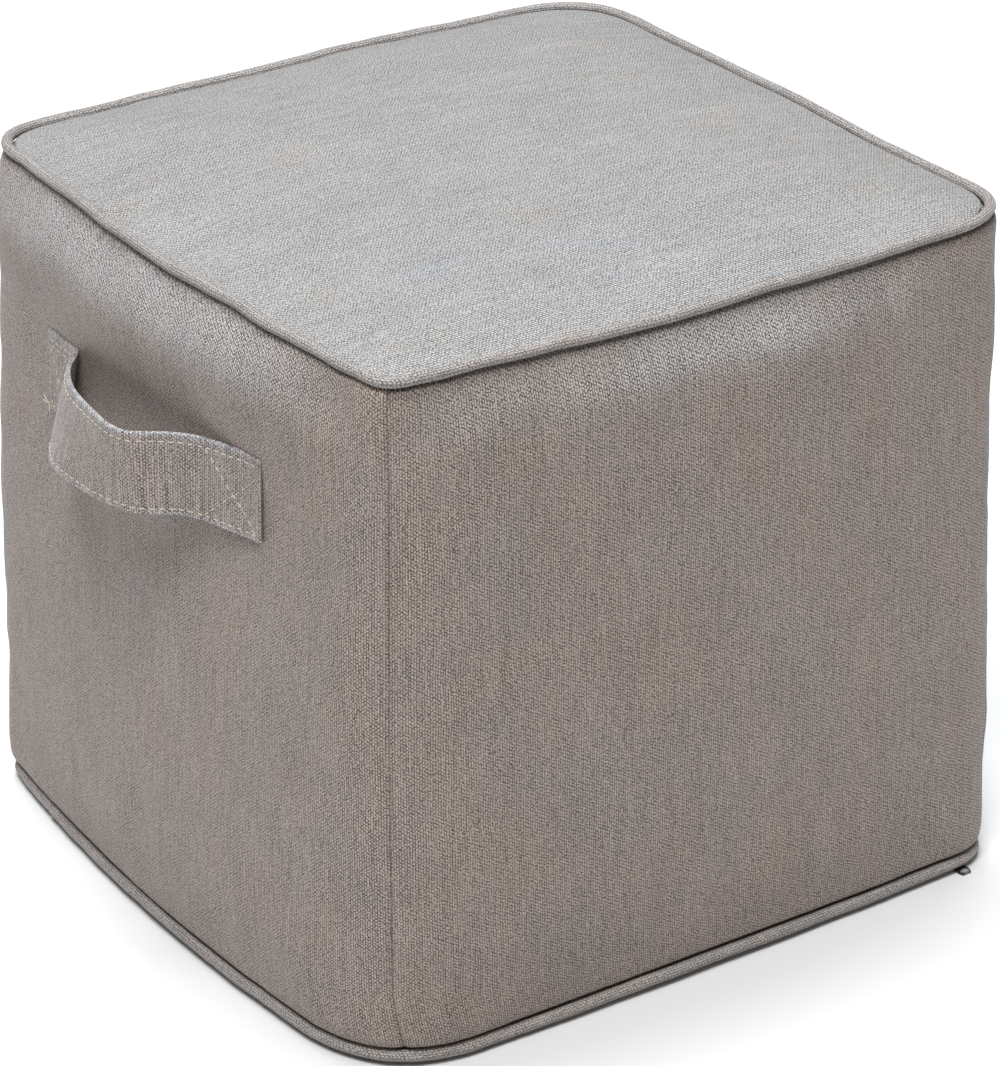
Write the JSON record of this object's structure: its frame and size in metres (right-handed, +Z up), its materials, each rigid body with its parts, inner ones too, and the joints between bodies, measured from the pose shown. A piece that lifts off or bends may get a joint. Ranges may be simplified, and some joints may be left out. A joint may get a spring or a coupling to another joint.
{
  "type": "cube pouf stool",
  "caption": "Cube pouf stool: a filled woven-cloth cube with a crowned top, piped top and base seams, a carrying strap on its side and a zip puller at its base.",
  "frame": {"origin": "middle of the base, on the floor", "axes": "+Z up; the face with the carrying strap looks along -X and the zip puller is at the base of the face that looks along -Y"},
  "size_m": [0.475, 0.4241, 0.4199],
  "materials": {
    "side_cloth": "heathered grey-beige woven cloth with slubs running up the sides",
    "top_cloth": "the same heathered cloth with its slubs running left to right",
    "piping_cloth": "the same cloth wrapped tightly round a cord",
    "strap_cloth": "the same cloth folded double, topstitched in cream thread",
    "puller": "black, with a worn grey tip"
  },
  "bodies": {
    "root": {"filled_body": "side_cloth", "top_panel": "top_cloth", "base_panel": "side_cloth", "top_piping": "piping_cloth", "base_piping": "piping_cloth", "handle_strap": "strap_cloth", "zip_pull": "puller"}
  },
  "joints": []
}
